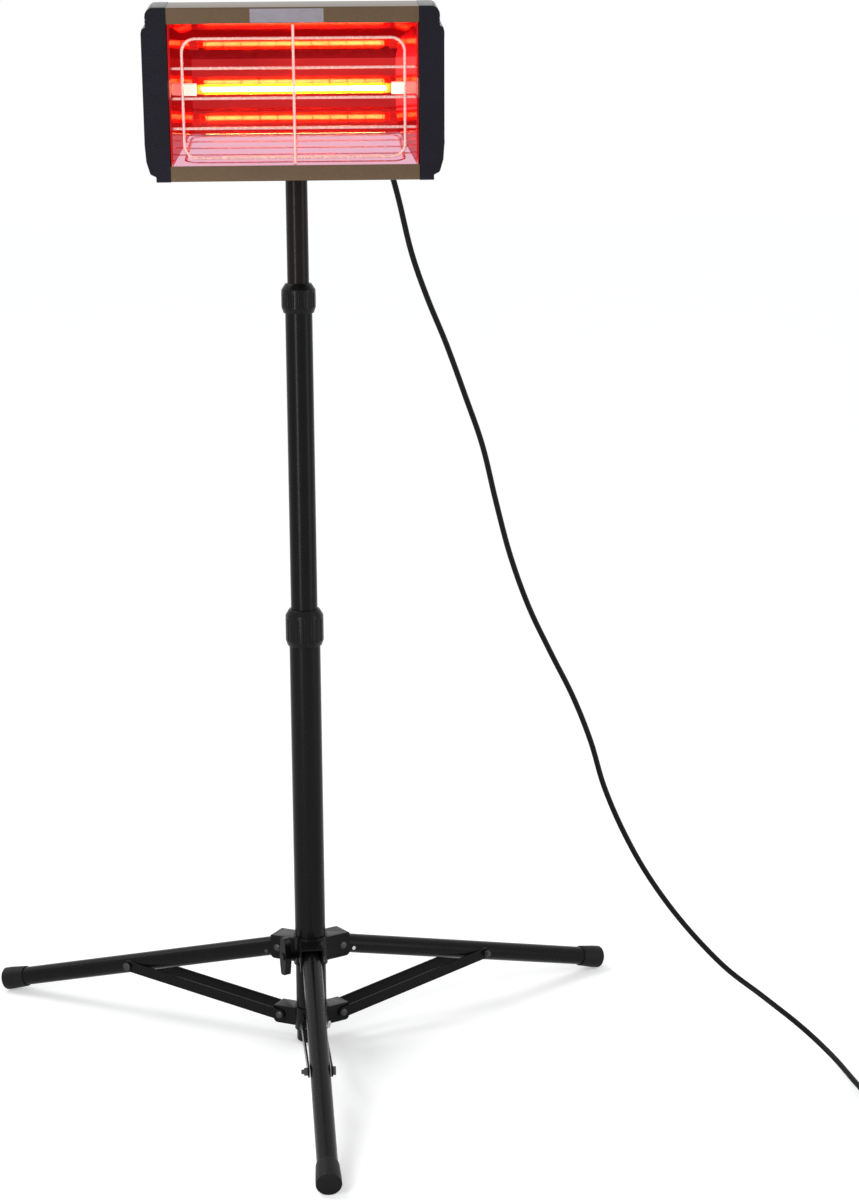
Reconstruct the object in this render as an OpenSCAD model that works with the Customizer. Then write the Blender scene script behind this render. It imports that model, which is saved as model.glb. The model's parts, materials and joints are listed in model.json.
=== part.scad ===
// Infrared paint curing lamp on a folding, telescoping tripod.
// Millimetres, +Z up. The origin is on the mast's axis at floor level; the lamp faces -Y.

/* [Mast] */
// Outside diameter of the base tube
base_d = 35; // [34:0.5:38]
// Outside diameter of the middle tube
mid_d = 30; // [28:0.5:30.5]
// Outside diameter of the top tube
top_d = 24; // [20:0.5:25]
// Wall of the mast tubes
tube_wall = 1.2; // [1:0.1:1.5]
// Height of the base tube's top end
base_top = 494; // [490:1:520]
// Middle tube showing between the two collars
mid_shown = 333; // [300:1:360]
// Middle tube held inside the base tube
mid_insert = 94; // [80:1:110]
// Top tube showing between the upper collar and the lamp socket
top_shown = 115; // [112:1:140]
// Top tube held inside the middle tube
top_insert = 232; // [180:1:250]
// Gap between the mast's lower end and the floor
mast_lift = 4; // [3:0.5:6]

/* [Twist collars] */
// Height of a collar
collar_h = 42; // [38:1:46]
// Collar diameter over the ribs, past its lower tube
collar_wall = 3.9; // [3.5:0.1:5]
// Grooves round a collar
collar_grooves = 18; // [12:1:24]

/* [Tripod] */
// How far the tripod is turned under the lamp
stand_turn = 2.3; // [0:0.1:8]
// Distance of a foot's end from the mast's axis
foot_reach = 424; // [400:1:440]
// Slope of an open leg below level
leg_slope = 14.5; // [13:0.5:16]
// Outside diameter of a leg tube
leg_d = 22; // [20:0.5:23]
// Wall of a leg tube
leg_wall = 1.2; // [1:0.1:1.5]
// Diameter of a foot cap
foot_d = 27; // [26:0.5:29]
// Length of a foot cap
foot_h = 30; // [26:1:36]
// Distance of the leg pivots from the mast's axis
hub_pivot_r = 37; // [36.5:0.1:39]
// Distance of the brace pivots from the mast's axis
spider_pivot_r = 36; // [35.5:0.1:38]
// Height of the brace pivots on the lower spider
spider_pivot_z = 31; // [29:0.5:33]
// Distance along a leg from its pivot to its brace bolt
brace_at = 211; // [190:1:230]
// Width of a brace strap
strap_w = 13; // [11:0.5:14]
// Thickness of a brace strap
strap_t = 2; // [1.5:0.1:2.5]
// Thickness of the hub and spider sheet
sheet = 2; // [1.5:0.1:2.5]
// Height of the hub's ears
hub_h = 28; // [26:0.5:30]
// Height of the lower spider's ears
spider_h = 21; // [19:0.5:22]
// Diameter of the pivot pins
pin_d = 5; // [4:0.5:6]

/* [Wing knobs] */
// Span of a wing knob
wing_span = 44; // [38:1:44]
// Diameter of the knob screws
knob_screw_d = 7; // [6:0.5:8]

/* [Lamp head] */
// Width of the head over its end caps
head_w = 313; // [305:1:330]
// Height of the head
head_h = 179; // [174:1:184]
// Depth of the housing
head_d = 87; // [84:1:92]
// Forward tilt of the head
head_tilt = 6; // [0:1:10]
// Height of the head's middle above the tilt pivot
head_rise = 36; // [34:1:40]
// Gap from the tilt pivot to the housing's back
head_gap = 25; // [24:0.5:30]
// Width of an end cap
cap_w = 26; // [24:0.5:30]
// Height of the front bars above and below the opening
bar_h = 16.5; // [14:0.5:18]
// Wall of the housing
shell_t = 1.8; // [1.5:0.1:2.2]
// Depth of the flat part of the housing's top and bottom
flat_d = 66; // [62:1:70]
// Height of the housing's back panel
back_h = 90; // [84:1:100]
// Thickness of the reflector sheet
reflector_t = 1; // [0.8:0.1:1.2]

/* [Lamp and guard] */
// Room between the lamp and the housing's ends, both ends together
lamp_room = 7; // [6:0.5:9]
// Diameter of the quartz tube
lamp_d = 11; // [10:0.5:12]
// Depth of the lamp behind the opening
lamp_depth = 52; // [50:0.5:54]
// Diameter of the guard wires
wire_d = 3; // [2.5:0.1:3.5]
// Room between the guard's ring and the housing's ends, both ends together
ring_room = 30; // [26:1:36]
// Height of the guard's ring
ring_h = 123; // [116:1:126]
// Spacing of the guard's level wires
wire_pitch = 31; // [28:0.5:32]

/* [Connection box and cord] */
// Width of the connection box
box_w = 58; // [54:1:62]
// Height of the connection box
box_h = 48; // [46:1:52]
// Depth of the connection box
box_d = 34; // [32:0.5:38]
// Distance of the box's middle from the housing's end
box_inset = 46.5; // [42:0.5:50]
// Diameter of the cord
cord_d = 6.4; // [6.2:0.1:6.6]
// Turns in the coil
coil_turns = 5; // [3:2:7]

/* [Clearances] */
// Radial running clearance of tubes that slide
slide_fit = 0.1; // [0.05:0.05:0.3]
// Radial running clearance of pivots
pivot_fit = 0.05; // [0.03:0.01:0.1]
// Gap between pieces that pass each other
gap = 0.3; // [0.2:0.1:0.5]

/* [Hidden] */
$fn = 64;

// Mast, worked out from its tubes
base_in = base_d - 2 * tube_wall;
mid_in = mid_d - 2 * tube_wall;
plug_flange = 3;
base_bottom = mast_lift + plug_flange;
collar_drop = 19;
high_scale = 0.78;
low_collar_z = base_top - collar_drop;
mid_bottom = base_top - mid_insert;
high_collar_z = low_collar_z + collar_h + mid_shown;
high_drop = 14;
mid_top = high_collar_z + high_drop;
top_bottom = mid_top - top_insert;
high_h = high_scale * collar_h;
socket_z = high_collar_z + high_h + top_shown;
collar_lip = 4;
high_lip = 3;

// Tripod, worked out from its pivots
leg_angles = [for (k = [0:2]) stand_turn - 90 + 120 * k];
leg_line_z = foot_d / 2 * cos(leg_slope) + foot_reach * tan(leg_slope);
hub_pivot_z = leg_line_z - hub_pivot_r * tan(leg_slope);
leg_len = (foot_reach - hub_pivot_r) / cos(leg_slope);
leg_tail = 6;
leg_out = leg_d / 2;
leg_screw = [17, 0, -3];
leg_screw_d = 3;
leg_screw_head = 0.9;
brace_out_r = hub_pivot_r + brace_at * cos(leg_slope);
brace_out_z = hub_pivot_z - brace_at * sin(leg_slope);
brace_len = norm([brace_out_r - spider_pivot_r, brace_out_z - spider_pivot_z]);
brace_rise = atan2(brace_out_z - spider_pivot_z, brace_out_r - spider_pivot_r);
strap_in = leg_out + gap + 0.2;
strap_out = strap_in + strap_t;
cheek_in = leg_out + gap;
spider_out = strap_in - gap;
hub_top = hub_pivot_z + norm([leg_tail, leg_out]) + gap + sheet;
hub_low = hub_top - hub_h;
hub_reach = hub_pivot_r + 8.5;
spider_low = spider_pivot_z - spider_h / 2;
spider_top = spider_pivot_z + spider_h / 2;
spider_reach = spider_pivot_r + 8.5;
sleeve_over = 3;
spider_screw_z = spider_low + 3;
spider_screw_d = 4;
sleeve_r = base_d / 2 + gap + sheet;
knob_angle = stand_turn - 150;
knob_boss = 10;
boss_d = 11;
knob_z = hub_pivot_z - 2;

// Head, worked out from its pivot. Its own frame has the pivot at the origin.
socket_h = 31;
socket_wall = 3.4;
neck_h = 35;
pivot_z = socket_z + socket_h + neck_h;
eye_r = 12;
eye_w = 16;
bracket_t = 2.5;
bracket_screws = [for (x = [-22, 22], z = [4, 48]) [x, z]];
bracket_screw_l = 5;
screw_d = 3.4;
box_screw_d = 2.6;
cap_screw_y = 40;
cap_screw_z = 56;
bracket_in = eye_w / 2 + gap;
bracket_out = bracket_in + bracket_t;
bolt_d = 8;
nut_d = 17;
nut_h = 12;
nut_span = 36;
back_y = -head_gap;
front_y = back_y - head_d;
body_w = head_w - 2 * cap_w;
lamp_y = front_y + lamp_depth;
lamp_l = body_w - lamp_room;
ring_w = body_w - ring_room;
box_x = body_w / 2 - box_inset;
holder_w = 15;
holder_h = 19;
support_pitch = 19;
reflector_back = 29;
reflector_step = 17.4;
trough = [[0, 73], [lamp_depth + reflector_step, 48.8], [lamp_depth + reflector_back, 28]];
contact_d = 5;
guard_drop = 4;
guard_y = front_y + 6;
weld = wire_d * 0.9;
end_x = body_w / 2 - 2;

// Connection box and gland
box_wall = 2;
box_y0 = back_y;
box_y1 = back_y + box_d;
box_z = head_rise - box_h / 2;
gland_x = box_x + 14;
gland_y = back_y + 19;
gland_h = 22;
boot_h = 24;
rocker_tip = 10;
gland_d = 17;

// Cord. The route is given by hand, from the strain relief to the coil.
cord_start = head_point([gland_x, gland_y, box_z - gland_h - boot_h]);
cord_neck = head_point([gland_x, gland_y, box_z - gland_h - boot_h - 5]);
cord_drop = head_point([gland_x, gland_y, box_z - gland_h - boot_h - 12]);
route = [cord_start, cord_neck, cord_drop,
    [103, 2, 1004], [112, 4, 970], [125, 6, 914], [142, 8, 864], [163, 11, 812],
    [184, 13, 753], [203, 16, 697], [218, 17, 633], [234, 18, 571], [255, 19, 511],
    [280, 20, 457], [306, 21, 404], [327, 22, 350], [343, 22, 295], [366, 20, 240],
    [395, 15, 187], [433, 2, 135], [479, -17, 87], [521, -41, 58], [560, -79, 34],
    [587, -127, 17], [602, -182, 8], [610, -220, 5.2], [614, -250, 4.4],
    [615, -270, 4.3]];
rings_per_step = 3;
cord_sides = 8;
coil_x = 658;
coil_y = -292;
coil_r = 43;
coil_pitch = 7;
coil_lift = 7;
coil_tie_t = 0.9;
coil_z = cord_d / 2 + coil_tie_t + 0.2;
coil_rings = 24;
coil_tail = 16;
plug_t = 21;
plug_l = 34;
neck_l = 18;

function unit(v) = v / norm(v);
function polar(r, a, z = 0) = [r * cos(a), r * sin(a), z];
function head_point(p) = [p.x, p.y * cos(head_tilt) - p.z * sin(head_tilt),
    pivot_z + p.y * sin(head_tilt) + p.z * cos(head_tilt)];

// Outline with each corner rounded to its own radius, in n steps
function rounded(p, r, n = 5) = [
    for (i = [0:len(p) - 1])
        let (
            a = p[(i + len(p) - 1) % len(p)],
            c = p[(i + 1) % len(p)],
            u = unit(a - p[i]),
            v = unit(c - p[i]),
            half = acos(u * v) / 2,
            q = is_list(r) ? r[i] : r,
            m = p[i] + unit(u + v) * q / sin(half),
            s = p[i] + u * q / tan(half) - m,
            e = p[i] + v * q / tan(half) - m,
            a0 = atan2(s.y, s.x),
            turn = atan2(s.x * e.y - s.y * e.x, s * e)
        )
        each q == 0 ? [p[i]] : [for (k = [0:n]) m + q * [cos(a0 + turn * k / n), sin(a0 + turn * k / n)]]
];
function box_outline(x0, x1, y0, y1) = [[x0, y0], [x1, y0], [x1, y1], [x0, y1]];
function mirror_y(p) = [for (i = [len(p) - 1:-1:0]) [p[i].x, -p[i].y]];

// Points of a smooth curve through the route's points
function smooth_point(p, i, t) =
    let (
        n = len(p) - 1,
        a = p[max(i - 1, 0)],
        b = p[i],
        c = p[min(i + 1, n)],
        d = p[min(i + 2, n)],
        m0 = (c - a) / 2,
        m1 = (d - b) / 2
    )
    b * (2 * t ^ 3 - 3 * t ^ 2 + 1) + m0 * (t ^ 3 - 2 * t ^ 2 + t)
    + c * (3 * t ^ 2 - 2 * t ^ 3) + m1 * (t ^ 3 - t ^ 2);
function smooth(p, steps) = concat(
    [for (i = [0:len(p) - 2]) for (k = [0:steps - 1]) smooth_point(p, i, k / steps)],
    [p[len(p) - 1]]);

// Points of the coil: it spirals in on the floor, climbs a layer and spirals out again
function coil_point(t) =
    let (
        half = coil_turns / 2,
        r = coil_r - coil_pitch * (t < half ? t : coil_turns - t),
        climb = min(max((t - half + 0.25) * 2, 0), 1),
        a = 180 + 360 * t
    )
    [coil_x + r * cos(a), coil_y + r * sin(a), coil_z + coil_lift * climb];
coil_path = concat(
    [[coil_x - coil_r, coil_y + 22, coil_z], [coil_x - coil_r, coil_y + 12, coil_z]],
    [for (k = [0:coil_turns * coil_rings]) coil_point(k / coil_rings)],
    [[coil_x - coil_r, coil_y - 12, coil_z + coil_lift],
        [coil_x - coil_r, coil_y - 12 - coil_tail, coil_z + coil_lift]]);
coil_end = coil_path[len(coil_path) - 1];

// Least gap between turns of the coil, measured between points a quarter turn or more apart
coil_gaps = [
    for (i = [0:len(coil_path) - 1])
        for (j = [i + coil_rings / 4:1:len(coil_path) - 1])
            norm(coil_path[i] - coil_path[j])
];
echo(coil_least_gap = min(coil_gaps) - cord_d);

// Tube swept along a path: rings that keep level sides, closed by flat ends
function side_of(d) = unit(cross(d, abs(d.z) > 0.9 * norm(d) ? [0, 1, 0] : [0, 0, 1]));
function carried(prev, d) = let (w = prev - d * (prev * d) / (d * d)) unit(w);
function directions(p) = [
    for (i = [0:len(p) - 1])
        i == 0 ? p[1] - p[0] : i == len(p) - 1 ? p[i] - p[i - 1] : p[i + 1] - p[i - 1]
];
function frames(d, i = 0, done = []) =
    i == len(d) ? done
    : frames(d, i + 1, concat(done, [i == 0 ? side_of(d[0]) : carried(done[i - 1], d[i])]));

module sweep(path, d, sides) {
    dir = directions(path);
    side = frames(dir);
    points = [
        for (i = [0:len(path) - 1])
            for (k = [0:sides - 1])
                let (a = 360 * (k + 0.5) / sides)
                path[i] + d / 2 * (side[i] * cos(a) + unit(cross(dir[i], side[i])) * sin(a))
    ];
    last = (len(path) - 1) * sides;
    faces = concat(
        [for (k = [1:sides - 2]) [0, k, k + 1]],
        [
            for (i = [0:len(path) - 2])
                for (k = [0:sides - 1])
                    let (n = (k + 1) % sides, a = i * sides)
                    each [[a + k, a + sides + k, a + sides + n], [a + k, a + sides + n, a + n]]
        ],
        [for (k = [1:sides - 2]) [last, last + k + 1, last + k]]);
    polyhedron(points, faces);
}

// Plain building shapes
module ring(od, id, h) {
    difference() {
        cylinder(d = od, h = h);
        translate([0, 0, -1]) cylinder(d = id, h = h + 2);
    }
}

// An outline in Y and Z, drawn out along X
module along_x(w) {
    rotate([90, 0, 90]) linear_extrude(w, center = true) children();
}

// An outline in X and Z, drawn out along Y
module along_y(w) {
    rotate([90, 0, 0]) linear_extrude(w, center = true) children();
}

module rod_y(d, w) {
    rotate([90, 0, 0]) cylinder(d = d, h = w, center = true);
}

module rod_x(d, x0, x1) {
    translate([x0, 0, 0]) rotate([0, 90, 0]) cylinder(d = d, h = x1 - x0);
}

// Mast tubes
module base_tube() {
    color("#1c1c1e") translate([0, 0, base_bottom]) ring(base_d, base_in, base_top - base_bottom);
}

module mid_tube() {
    color("#1c1c1e") translate([0, 0, mid_bottom]) ring(mid_d, mid_in, mid_top - mid_bottom);
}

module top_tube() {
    color("#2a2324") translate([0, 0, top_bottom])
        ring(top_d, top_d - 2 * tube_wall, socket_z + socket_h - 3 - top_bottom);
}

// Plastic plug in the mast's lower end
module mast_end_plug() {
    color("#151515") difference() {
        union() {
            translate([0, 0, mast_lift]) cylinder(d = base_d, h = plug_flange);
            translate([0, 0, base_bottom]) cylinder(d = base_in, h = 18);
        }
        translate([0, 0, base_bottom + 2]) cylinder(d = base_in - 6, h = 18);
    }
}

// Sleeve that guides the lower end of an inner tube
module guide_sleeve(inner_d, outer_in, z) {
    color("#202020") translate([0, 0, z]) difference() {
        cylinder(d = outer_in - 2 * slide_fit, h = 24);
        translate([0, 0, 3]) cylinder(d = inner_d, h = 24);
        translate([0, 0, -1]) cylinder(d = inner_d - 2 * tube_wall, h = 6);
    }
}

module mid_guide_sleeve() {
    guide_sleeve(mid_d, base_in, mid_bottom - 3);
}

module top_guide_sleeve() {
    guide_sleeve(top_d, mid_in, top_bottom - 3);
}

// Split clamping ring on an outer tube's end, round the inner tube
module collet(outer_d, inner_d, z, h) {
    color("#2b2b2b") difference() {
        translate([0, 0, z]) union() {
            cylinder(d = outer_d, h = h - 3);
            translate([0, 0, h - 3]) cylinder(d1 = outer_d, d2 = outer_d - 2, h = 3);
        }
        translate([0, 0, z - 1]) cylinder(d = inner_d + 2 * slide_fit, h = h + 2);
        for (a = [0, 180])
            rotate([0, 0, a + 45]) translate([0, -0.6, z + 3]) cube([outer_d, 1.2, h]);
    }
}

module base_collet() {
    collet(base_d, mid_d, base_top, collar_h - collar_drop - collar_lip - gap);
}

module mid_collet() {
    collet(mid_d, top_d, mid_top, high_h - high_drop - high_lip - gap);
}

// Ribbed twist collar with a tapered skirt and a domed top
module twist_collar(outer_d, inner_d, z, h, lip) {
    wall_d = outer_d + 2 * collar_wall;
    r = wall_d / 2;
    top_r = inner_d / 2 + 2.2;
    dome = 7;
    outline = rounded([[0, 0], [r - 2.2, 0], [r, 6], [r, h - dome], [top_r, h], [0, h]],
        [0, 0.8, 1.5, 3, 1, 0]);
    color("#18181a") translate([0, 0, z]) difference() {
        rotate_extrude() polygon(outline);
        translate([0, 0, -1]) cylinder(d = outer_d + 2 * slide_fit, h = h - lip + 1);
        cylinder(d = inner_d + 2 * gap, h = h + 1);
        for (k = [0:collar_grooves - 1])
            rotate([0, 0, 360 * (k + 0.5) / collar_grooves])
                translate([r + 0.5, 0, 7]) cylinder(d = 3.4, h = h - dome - 10, $fn = 24);
    }
}

module lower_twist_collar() {
    twist_collar(base_d, mid_d, low_collar_z, collar_h, collar_lip);
}

module upper_twist_collar() {
    twist_collar(mid_d, top_d, high_collar_z, high_h, high_lip);
}

// Folded ear of the hub or the spider: two cheeks and a roof round a pivot
module ear(out, thick, reach, z0, z1) {
    outline = rounded([[0, z0], [reach, z0], [reach, z1], [0, z1]], [0, 5, 1.5, 0]);
    difference() {
        along_y(2 * out) polygon(outline);
        translate([-1, -(out - thick), z0 - 1]) cube([reach + 2, 2 * (out - thick), z1 - z0 + 1 - thick]);
    }
}

// Sliding hub with three ears for the legs and a boss for the wing knob
module hub_spider() {
    color("#1b1b1d") difference() {
        union() {
            for (a = leg_angles)
                rotate([0, 0, a]) ear(cheek_in + sheet, sheet, hub_reach, hub_low, hub_top);
            translate([0, 0, hub_low - sleeve_over])
                cylinder(r = sleeve_r, h = hub_h + 2 * sleeve_over);
            rotate([0, 0, knob_angle]) translate([0, 0, knob_z]) rod_x(boss_d, 0, sleeve_r + knob_boss);
        }
        translate([0, 0, hub_low - sleeve_over - 1])
            cylinder(d = base_d + 2 * slide_fit, h = hub_h + 2 * sleeve_over + 2);
        rotate([0, 0, knob_angle]) translate([0, 0, knob_z])
            rod_x(knob_screw_d + 2 * pivot_fit, 0, sleeve_r + knob_boss + 1);
        for (a = leg_angles)
            rotate([0, 0, a]) translate([hub_pivot_r, 0, hub_pivot_z]) rod_y(pin_d, 2 * leg_d);
    }
}

// Riveted pins that the legs turn on
module pivot_pin(r, z, out) {
    translate([r, 0, z]) {
        rod_y(pin_d, 2 * out);
        for (s = [-1, 1])
            translate([0, s * (out + 0.7), 0]) rotate([s * 90, 0, 0])
                cylinder(d1 = pin_d - 1, d2 = pin_d + 3.5, h = 1.4, center = true);
    }
}

module hub_pins() {
    color("#4a4a4c") for (a = leg_angles)
        rotate([0, 0, a]) pivot_pin(hub_pivot_r, hub_pivot_z, cheek_in + sheet);
}

// Outline of two wings, waisted at the middle
function wing_outline(half) = rounded(
    [[-4.2, half], [-6.5, 6.5], [-6.5, -6.5], [-4.2, -half], [4.2, -half], [6.5, -6.5], [6.5, 6.5],
        [4.2, half]],
    [2.5, 3, 3, 2.5, 2.5, 3, 3, 2.5]);

// Wing knob with its screw: the screw runs along +X from x0 and the wings stand at x1
module wing_knob(x0, x1, span, depth) {
    rod_x(knob_screw_d, x0, x1 + 1);
    translate([x1 + depth / 2, 0, 0]) along_x(depth) polygon(wing_outline(span / 2));
    rod_x(15, x1, x1 + depth - 1);
    rod_x(9, x1 + depth - 2, x1 + depth + 1.5);
}

module hub_wing_knob() {
    color("#141414") rotate([0, 0, knob_angle]) translate([0, 0, knob_z])
        wing_knob(base_d / 2 + gap, sleeve_r + knob_boss + gap, wing_span, 8);
}

// Lower spider, clamped round the base tube, with narrow ears between the straps
module lower_spider() {
    color("#1b1b1d") difference() {
        union() {
            for (a = leg_angles)
                rotate([0, 0, a]) ear(spider_out, sheet, spider_reach, spider_low, spider_top);
            translate([0, 0, spider_low - sleeve_over])
                cylinder(r = sleeve_r, h = spider_h + 2 * sleeve_over);
        }
        translate([0, 0, spider_low - sleeve_over - 1])
            cylinder(d = base_d, h = spider_h + 2 * sleeve_over + 2);
        rotate([0, 0, stand_turn - 30]) translate([0, 0, spider_screw_z])
            rod_x(spider_screw_d, 0, sleeve_r + 4);
        for (a = leg_angles)
            rotate([0, 0, a]) translate([spider_pivot_r, 0, spider_pivot_z]) rod_y(pin_d, 2 * leg_d);
    }
}

module spider_pins() {
    color("#4a4a4c") for (a = leg_angles)
        rotate([0, 0, a]) pivot_pin(spider_pivot_r, spider_pivot_z, strap_out + gap);
}

module spider_screw() {
    color("#c8c8c8") rotate([0, 0, stand_turn - 30]) translate([0, 0, spider_screw_z]) difference() {
        union() {
            rod_x(spider_screw_d, base_d / 2, sleeve_r + 1);
            rod_x(8.5, sleeve_r, sleeve_r + 3);
        }
        for (a = [0, 90])
            rotate([a, 0, 0]) translate([sleeve_r + 1.6, -3, -0.5]) cube([3, 6, 1]);
    }
}

// A leg's own frame: its pivot at the origin, the leg running along +X
module on_leg(k) {
    rotate([0, 0, leg_angles[k]]) translate([hub_pivot_r, 0, hub_pivot_z])
        rotate([0, leg_slope, 0]) children();
}

module leg_tube(k) {
    color("#1c1c1e") on_leg(k) difference() {
        rod_x(leg_d, -leg_tail, leg_len - 3);
        rod_x(leg_d - 2 * leg_wall, -leg_tail - 1, leg_len);
        rod_y(pin_d + 2 * pivot_fit, 2 * leg_d);
        translate([brace_at, 0, 0]) rod_y(pin_d, 2 * leg_d);
        translate(leg_screw) rod_y(leg_screw_d, 2 * leg_d);
        leg_screw_heads();
    }
}

// Both heads of the small screw by the hub, let into the tube's sides
module leg_screw_heads() {
    translate(leg_screw) for (s = [-1, 1])
        translate([0, s * (leg_out + 0.2 - leg_screw_head / 2), 0])
            rod_y(leg_screw_d + 1.6, leg_screw_head);
}

// Rubber cap over a leg's foot end
module foot_cap(k) {
    outline = rounded([[0, leg_len - foot_h], [leg_out + 1.3, leg_len - foot_h],
        [foot_d / 2, leg_len - 8], [foot_d / 2, leg_len], [0, leg_len]], [0, 1, 3, 0, 0]);
    color("#111111") on_leg(k) difference() {
        rotate([0, 90, 0]) rotate_extrude() polygon(outline);
        rod_x(leg_d, leg_len - foot_h - 1, leg_len - 3);
    }
}

// Brace bolt's core and the small screw by the hub, both held in the leg
module leg_bolts(k) {
    color("#b8b8b8") on_leg(k) {
        translate([brace_at, 0, 0]) rod_y(pin_d, leg_d);
        translate(leg_screw) rod_y(leg_screw_d, leg_d - 1);
        leg_screw_heads();
    }
}

// A brace's own frame: its pivot at the origin, the straps running along +X
module on_brace(k) {
    rotate([0, 0, leg_angles[k]]) translate([spider_pivot_r, 0, spider_pivot_z])
        rotate([0, -brace_rise, 0]) children();
}

module brace(k) {
    end = strap_w / 2;
    outline = rounded([[-end, -end], [brace_len + end, -end], [brace_len + end, end], [-end, end]],
        end - 0.01, 8);
    color("#19191b") on_brace(k) difference() {
        for (s = [-1, 1])
            translate([0, s * (strap_in + strap_t / 2), 0]) along_y(strap_t) polygon(outline);
        rod_y(pin_d + 2 * pivot_fit, 4 * leg_d);
        translate([brace_len, 0, 0]) rod_y(pin_d, 4 * leg_d);
    }
}

// Head, nut and shank ends of the bolt that joins a brace to its leg
module brace_bolts(k) {
    color("#2c2c2e") on_brace(k) translate([brace_len, 0, 0]) {
        for (s = [-1, 1])
            translate([0, s * (strap_in + strap_out) / 2, 0]) rod_y(pin_d, strap_t);
        translate([0, -strap_out - 2, 0]) rotate([90, 0, 0]) cylinder(d = 9, h = 4, center = true, $fn = 6);
        translate([0, -strap_out - 5.5, 0]) rod_y(pin_d, 3);
        translate([0, strap_out + 1.6, 0]) rod_y(9.5, 3.2);
    }
}

// Socket that clamps on the top tube and carries the tilt pivot
module tilt_socket() {
    od = top_d + 2 * slide_fit + 2 * socket_wall;
    neck = rounded([[-8, -neck_h], [8, -neck_h], [8, -6], [-8, -6]], 0);
    color("#202022") difference() {
        union() {
            translate([0, 0, socket_z]) cylinder(d = od, h = socket_h);
            translate([0, 0, socket_z]) cylinder(d = od + 1.6, h = 4);
            translate([0, 0, pivot_z]) {
                along_x(eye_w) polygon(neck);
                rod_x(2 * eye_r, -eye_w / 2, eye_w / 2);
            }
            translate([0, 0, socket_z + 14]) rotate([0, 0, 90]) rod_x(14, 0, od / 2 + 5);
        }
        translate([0, 0, socket_z - 1]) cylinder(d = top_d + 2 * slide_fit, h = socket_h - 2);
        translate([0, 0, socket_z + 14]) rotate([0, 0, 90])
            rod_x(knob_screw_d + 2 * pivot_fit, 0, od / 2 + 8);
        translate([0, 0, pivot_z]) rod_x(bolt_d, -eye_w, eye_w);
    }
}

module socket_wing_screw() {
    od = top_d + 2 * slide_fit + 2 * socket_wall;
    color("#141414") translate([0, 0, socket_z + 14]) rotate([0, 0, 90])
        wing_knob(top_d / 2 + gap, od / 2 + 5 + gap, 36, 9);
}

// Bolt through the bracket and the socket's eye
module tilt_bolt() {
    color("#9a9a9a") translate([0, 0, pivot_z]) {
        rod_x(bolt_d, -bracket_out - nut_h, bracket_out + gap);
        translate([bracket_out + gap, 0, 0]) rotate([0, 90, 0]) cylinder(d = 14, h = 5, $fn = 6);
    }
}

module tilt_wing_nut() {
    color("#141414") translate([0, 0, pivot_z]) rotate([0, 0, 180]) difference() {
        translate([bracket_out + gap, 0, 0]) {
            rod_x(nut_d, 0, nut_h);
            translate([nut_h - 4, 0, 0]) along_x(8) polygon(wing_outline(nut_span / 2));
        }
        rod_x(bolt_d + 2 * pivot_fit, 0, bracket_out + nut_h + 1);
    }
}

// Everything on the head is drawn in its own frame and put at the tilt pivot
module on_head() {
    translate([0, 0, pivot_z]) rotate([head_tilt, 0, 0]) children();
}

// Bracket on the housing's back: a base plate with two cheeks that straddle the eye
module tilt_bracket() {
    cheek = rounded([[back_y, -8], [-6, -eye_r], [eye_r, -eye_r], [eye_r, eye_r], [0, eye_r],
        [back_y, 52]], [0, 4, eye_r - 0.1, eye_r - 0.1, 6, 0], 8);
    color("#222224") on_head() difference() {
        union() {
            for (s = [-1, 1])
                translate([s * (bracket_in + bracket_t / 2), 0, 0]) along_x(bracket_t) polygon(cheek);
            translate([0, back_y + bracket_t / 2, 24])
                along_y(bracket_t) polygon(rounded(box_outline(-30, 30, -34, 36), 5));
        }
        rod_x(bolt_d + 2 * pivot_fit, -20, 20);
        for (p = bracket_screws) translate([p.x, back_y, p.y]) rod_y(4.2, 12);
    }
}

// Extruded housing: a shell that is open at the front, with a bar above and below the opening
function shell_outline(t) = concat(
    [[front_y + t, -head_h / 2 + t], [front_y + flat_d, -head_h / 2 + t]],
    [[back_y - t, -back_h / 2 + t / 2], [back_y - t, back_h / 2 - t / 2]],
    [[front_y + flat_d, head_h / 2 - t], [front_y + t, head_h / 2 - t]]);

module housing_shell() {
    open_h = head_h - 2 * bar_h;
    color("#7d6b52") on_head() translate([0, 0, head_rise]) difference() {
        along_x(body_w) polygon(rounded(shell_outline(0), [2, 8, 6, 6, 8, 2]));
        along_x(body_w + 2) polygon(rounded(shell_outline(shell_t), [0.5, 6, 4, 4, 6, 0.5]));
        translate([-body_w, front_y - 1, -open_h / 2]) cube([2 * body_w, shell_t + 2, open_h]);
        for (p = bracket_screws) translate([p.x, back_y, p.y - head_rise]) rod_y(screw_d, 12);
        translate([box_x, back_y, 0]) rod_y(12, 12);
    }
}

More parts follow.
